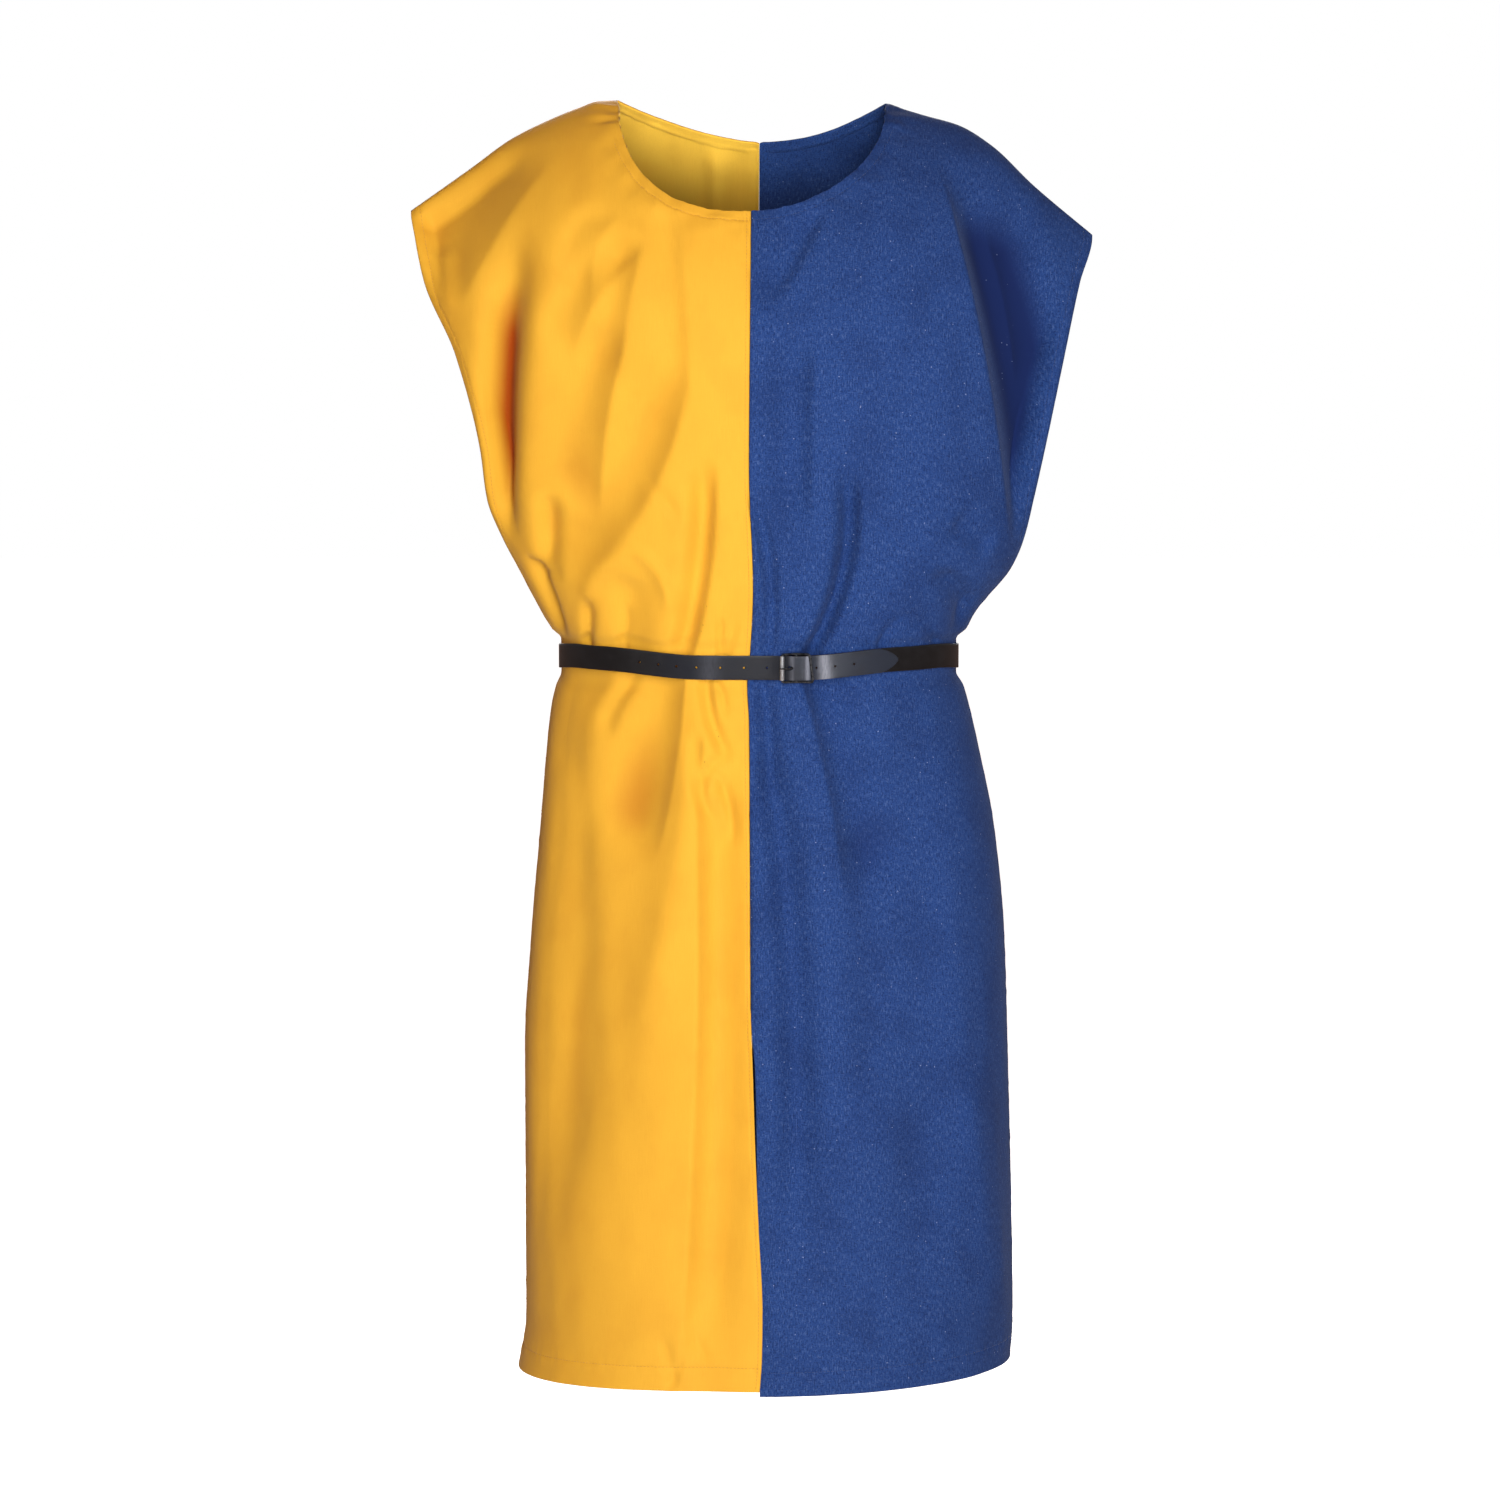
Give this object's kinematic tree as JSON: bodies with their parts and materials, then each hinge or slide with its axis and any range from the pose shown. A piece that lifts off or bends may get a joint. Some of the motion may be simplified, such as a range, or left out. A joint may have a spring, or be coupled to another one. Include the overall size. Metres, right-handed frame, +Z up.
{
  "type": "tabard with belt",
  "caption": "Sleeveless knee-length parti-coloured tabard in worn form, open at the sides, gathered at the waist by a buckled leather belt.",
  "frame": {"origin": "middle of the shoulder line at the neck, where the wearer's shoulders carry the garment", "axes": "+Z up, the front faces -Y, +X towards the wearer's left, which is the blue half"},
  "size_m": [0.5715, 0.2877, 1.0779],
  "materials": {
    "yellow_cotton": "smooth woven cotton",
    "blue_cotton": "slubbed woven cotton",
    "leather": "smooth, satin",
    "gunmetal": "dark plated",
    "steel": "polished"
  },
  "bodies": {
    "root": {"front_yellow": "yellow_cotton", "front_blue": "blue_cotton", "back_yellow": "yellow_cotton", "back_blue": "blue_cotton", "belt_strap": "leather", "belt_buckle": "gunmetal", "belt_roller": "steel", "belt_prong": "gunmetal"}
  },
  "joints": []
}
